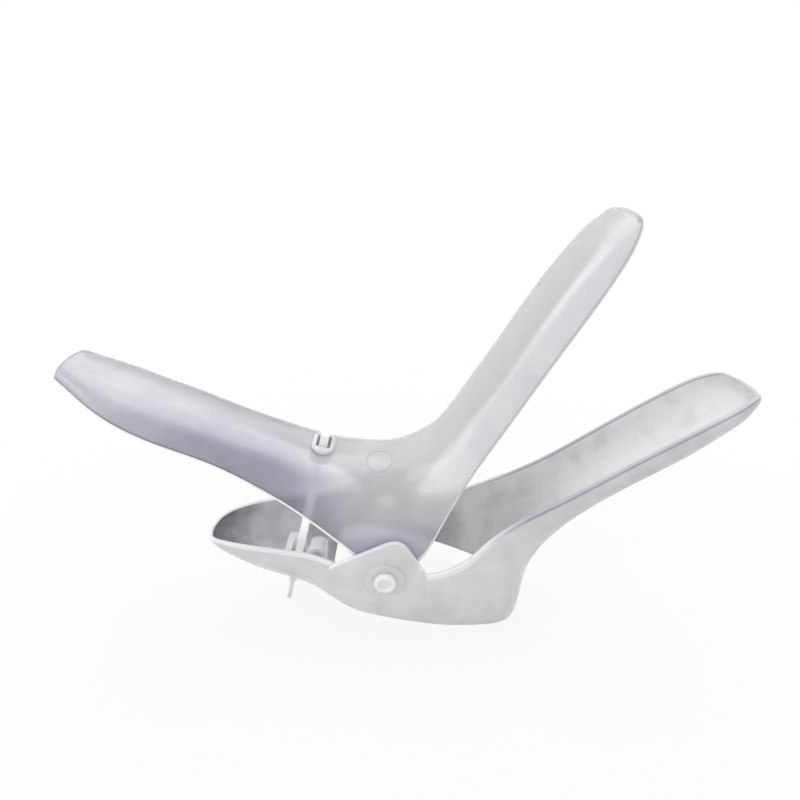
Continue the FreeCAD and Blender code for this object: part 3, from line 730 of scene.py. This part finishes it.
def lathe_pin(side):
    """A pin turned about the pivot axis: each (radius, height) of the profile swept round.

    The dish sinks by PIN_DISH_DEPTH sin(1.4 pi d), with d from 0 at its edge to 1 in its middle,
    and is level from where it has reached its depth. The head's edge is a quarter circle.
    """
    corner = np.linspace(0.0, math.pi / 2.0, 7)
    dish = np.linspace(0.0, 1.0, 9)
    edge = PIN_HEAD_ROUND
    profile = [(0.0, PIN_FLANGE - 1.0), (2.7, PIN_FLANGE - 1.0), (2.9, PIN_FLANGE - 0.8),
               (2.9, PIN_FLANGE), (PIN_SHANK_RADIUS, PIN_FLANGE + 0.05),
               (PIN_SHANK_RADIUS, PIN_SEAT - 0.05), (PIN_HEAD_RADIUS - 0.15, PIN_SEAT),
               (PIN_HEAD_RADIUS, PIN_SEAT + 0.15)]
    profile += [(PIN_HEAD_RADIUS - edge + edge * math.cos(a), PIN_FACE - edge + edge * math.sin(a))
                for a in corner]
    profile += [(PIN_DISH_RADIUS * (1.0 - d),
                 PIN_FACE - PIN_DISH_DEPTH * math.sin(math.pi * min(d * 1.4, 0.5))) for d in dish]
    profile = np.array(profile) * MM
    turn = np.linspace(0.0, 2.0 * math.pi, 65)[None, :]
    radius = profile[:, 0][:, None]
    loops = np.stack([PIVOT[0] + radius * np.cos(turn), side * profile[:, 1][:, None] + 0.0 * turn,
                      PIVOT[2] + radius * np.sin(turn)], axis=-1)
    name = "pivot_button_near" if side < 0 else "pivot_button_far"
    return closed_piece(name, loops, closed_grid(loops))


pin_plastic = milky_plastic("white pin plastic", (0.84, 0.84, 0.84), (0.7, 0.7, 0.71),
                            clouds=0.1, roughness=0.26, grain=0.1, glow=0.3, clear=0.0)
for side, node in ((-1, "pivot_pin_near"), (1, "pivot_pin_far")):
    pin = lathe_pin(side)
    finish_edges(pin)
    dress(pin, [pin_plastic], "lower", "pin_plastic", node)

# The strut, its hinge pin, the guide block and the release tongue keep the solids' own shapes,
# in clear milky plastic.
strut_plastic = milky_plastic("milky strut plastic", (0.78, 0.78, 0.79), (0.6, 0.6, 0.62),
                              clouds=0.1, roughness=0.24, grain=0.15, glow=0.5, clear=0.0)
guide_plastic = milky_plastic("milky guide plastic", (0.74, 0.74, 0.76), (0.55, 0.55, 0.58),
                              clouds=0.12, roughness=0.24, grain=0.15, glow=0.5, clear=0.1)


def painted_glow(material, low, high, strength):
    """Painted glow: an emission that changes with height, standing in for light that the clear
    plastic carries along itself.

    It is none at low, full from half way up, and falls to a seventh at high.
    """
    nodes, links = material.node_tree.nodes, material.node_tree.links
    place = nodes.new("ShaderNodeTexCoord")
    axes = nodes.new("ShaderNodeSeparateXYZ")
    rise = nodes.new("ShaderNodeMapRange")
    rise.inputs["From Min"].default_value = low
    rise.inputs["From Max"].default_value = high
    glow = nodes.new("ShaderNodeValToRGB")
    glow.color_ramp.elements[0].color = (0.0, 0.0, 0.0, 1.0)
    glow.color_ramp.elements[1].color = (0.15, 0.15, 0.15, 1.0)
    for share in (0.5, 0.82):
        glow.color_ramp.elements.new(share).color = (1.0, 1.0, 1.0, 1.0)
    links.new(place.outputs["Object"], axes.inputs[0])
    links.new(axes.outputs["Z"], rise.inputs["Value"])
    links.new(rise.outputs["Result"], glow.inputs[0])
    links.new(glow.outputs[0], nodes["Principled BSDF"].inputs["Emission Color"])
    nodes["Principled BSDF"].inputs["Emission Strength"].default_value = strength


# The strut, the guide block and the release tongue glow with painted light, strongest part way up.
painted_glow(strut_plastic, low=PIVOT[2] - 0.016, high=PIVOT[2] + 0.031, strength=0.55)
painted_glow(guide_plastic, low=PIVOT[2] - 0.020, high=PIVOT[2] + 0.010, strength=0.16)
for node, plastic in (("ratchet_strut", strut_plastic), ("guide_block", guide_plastic),
                      ("release_tongue", guide_plastic), ("strut_pin", pin_plastic)):
    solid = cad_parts[node]
    solid.data.materials.clear()
    solid.data.materials.append(plastic)

# The photographer's table: a white sheet that keeps a soft shadow, white surroundings, and two
# broad lamps.
scene = bpy.context.scene


def white_sheet():
    """White floor: plain diffuse under light, lifted to white where it is seen.

    Seen means by the camera, in gloss or through clear plastic. The lift is a mix with white
    light, weaker near the part, where its shadow falls, and whole farther out.
    """
    material = bpy.data.materials.new("white sheet")
    material.use_nodes = True
    nodes, links = material.node_tree.nodes, material.node_tree.links
    nodes.clear()
    out = nodes.new("ShaderNodeOutputMaterial")
    matte = nodes.new("ShaderNodeBsdfDiffuse")
    matte.inputs["Color"].default_value = (0.75, 0.75, 0.75, 1.0)
    light = nodes.new("ShaderNodeEmission")
    light.inputs["Color"].default_value = (1.0, 1.0, 1.0, 1.0)
    ray = nodes.new("ShaderNodeLightPath")
    seen, through, share = (nodes.new("ShaderNodeMath") for _ in range(3))
    seen.operation = "MAXIMUM"
    through.operation = "MAXIMUM"
    share.operation = "MULTIPLY"
    place = nodes.new("ShaderNodeTexCoord")
    away = nodes.new("ShaderNodeVectorMath")
    away.operation = "LENGTH"
    fade = nodes.new("ShaderNodeMapRange")
    fade.inputs["From Min"].default_value = 0.08
    fade.inputs["From Max"].default_value = 0.26
    fade.inputs["To Min"].default_value = 0.87
    fade.inputs["To Max"].default_value = 1.0
    links.new(place.outputs["Object"], away.inputs[0])
    links.new(away.outputs["Value"], fade.inputs["Value"])
    links.new(fade.outputs["Result"], share.inputs[1])
    mix = nodes.new("ShaderNodeMixShader")
    links.new(ray.outputs["Is Camera Ray"], seen.inputs[0])
    links.new(ray.outputs["Is Glossy Ray"], seen.inputs[1])
    links.new(seen.outputs[0], through.inputs[0])
    links.new(ray.outputs["Is Transmission Ray"], through.inputs[1])
    links.new(through.outputs[0], share.inputs[0])
    links.new(share.outputs[0], mix.inputs[0])
    links.new(matte.outputs[0], mix.inputs[1])
    links.new(light.outputs[0], mix.inputs[2])
    links.new(mix.outputs[0], out.inputs["Surface"])
    return material


FLOOR_REACH = 3.0
floor_corners = [(x * FLOOR_REACH, y * FLOOR_REACH, 0.0) for x, y in ((-1, -1), (1, -1), (1, 1), (-1, 1))]
floor_mesh = bpy.data.meshes.new("floor")
floor_mesh.from_pydata(floor_corners, [], [(0, 1, 2, 3)])
floor = bpy.data.objects.new("floor", floor_mesh)
scene.collection.objects.link(floor)
floor_mesh.materials.append(white_sheet())
floor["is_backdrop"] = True

world = bpy.data.worlds.new("white room")
scene.world = world
world.use_nodes = True
sky = world.node_tree.nodes["Background"]
sky.inputs["Color"].default_value = (1.0, 1.0, 1.0, 1.0)

# The sky lights a little less than it shows to the camera.
path = world.node_tree.nodes.new("ShaderNodeLightPath")
strength = world.node_tree.nodes.new("ShaderNodeMapRange")
strength.inputs["To Min"].default_value = 0.9
strength.inputs["To Max"].default_value = 1.0
world.node_tree.links.new(path.outputs["Is Camera Ray"], strength.inputs["Value"])
world.node_tree.links.new(strength.outputs["Result"], sky.inputs["Strength"])


def broad_lamp(name, place, size, power):
    """Square soft lamp that faces the floor under the mouth."""
    light = bpy.data.lights.new(name, "AREA")
    light.size = size
    light.energy = power
    lamp = bpy.data.objects.new(name, light)
    scene.collection.objects.link(lamp)
    lamp.location = place
    aim = floor.location - lamp.location
    lamp.rotation_euler = aim.to_track_quat("-Z", "Y").to_euler()


broad_lamp("lamp_above", (0.10, 0.20, 0.7), size=0.5, power=1.4)
broad_lamp("lamp_left", (-0.6, -0.35, 0.55), size=0.4, power=1.0)

# The camera stands above and in front of the near pin, looking down by 25 degrees.
camera = bpy.data.cameras.new("camera")
camera.lens = 22.68
camera.sensor_width = 36.0
camera.clip_start = 0.01
eye = bpy.data.objects.new("camera", camera)
scene.collection.objects.link(eye)
eye.location = (PIVOT[0] + 0.0041, -0.124, PIVOT[2] + 0.1028)
eye.rotation_euler = (math.radians(65.0), 0.0, 0.0)
scene.camera = eye
scene.view_settings.view_transform = "Standard"

low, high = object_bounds()
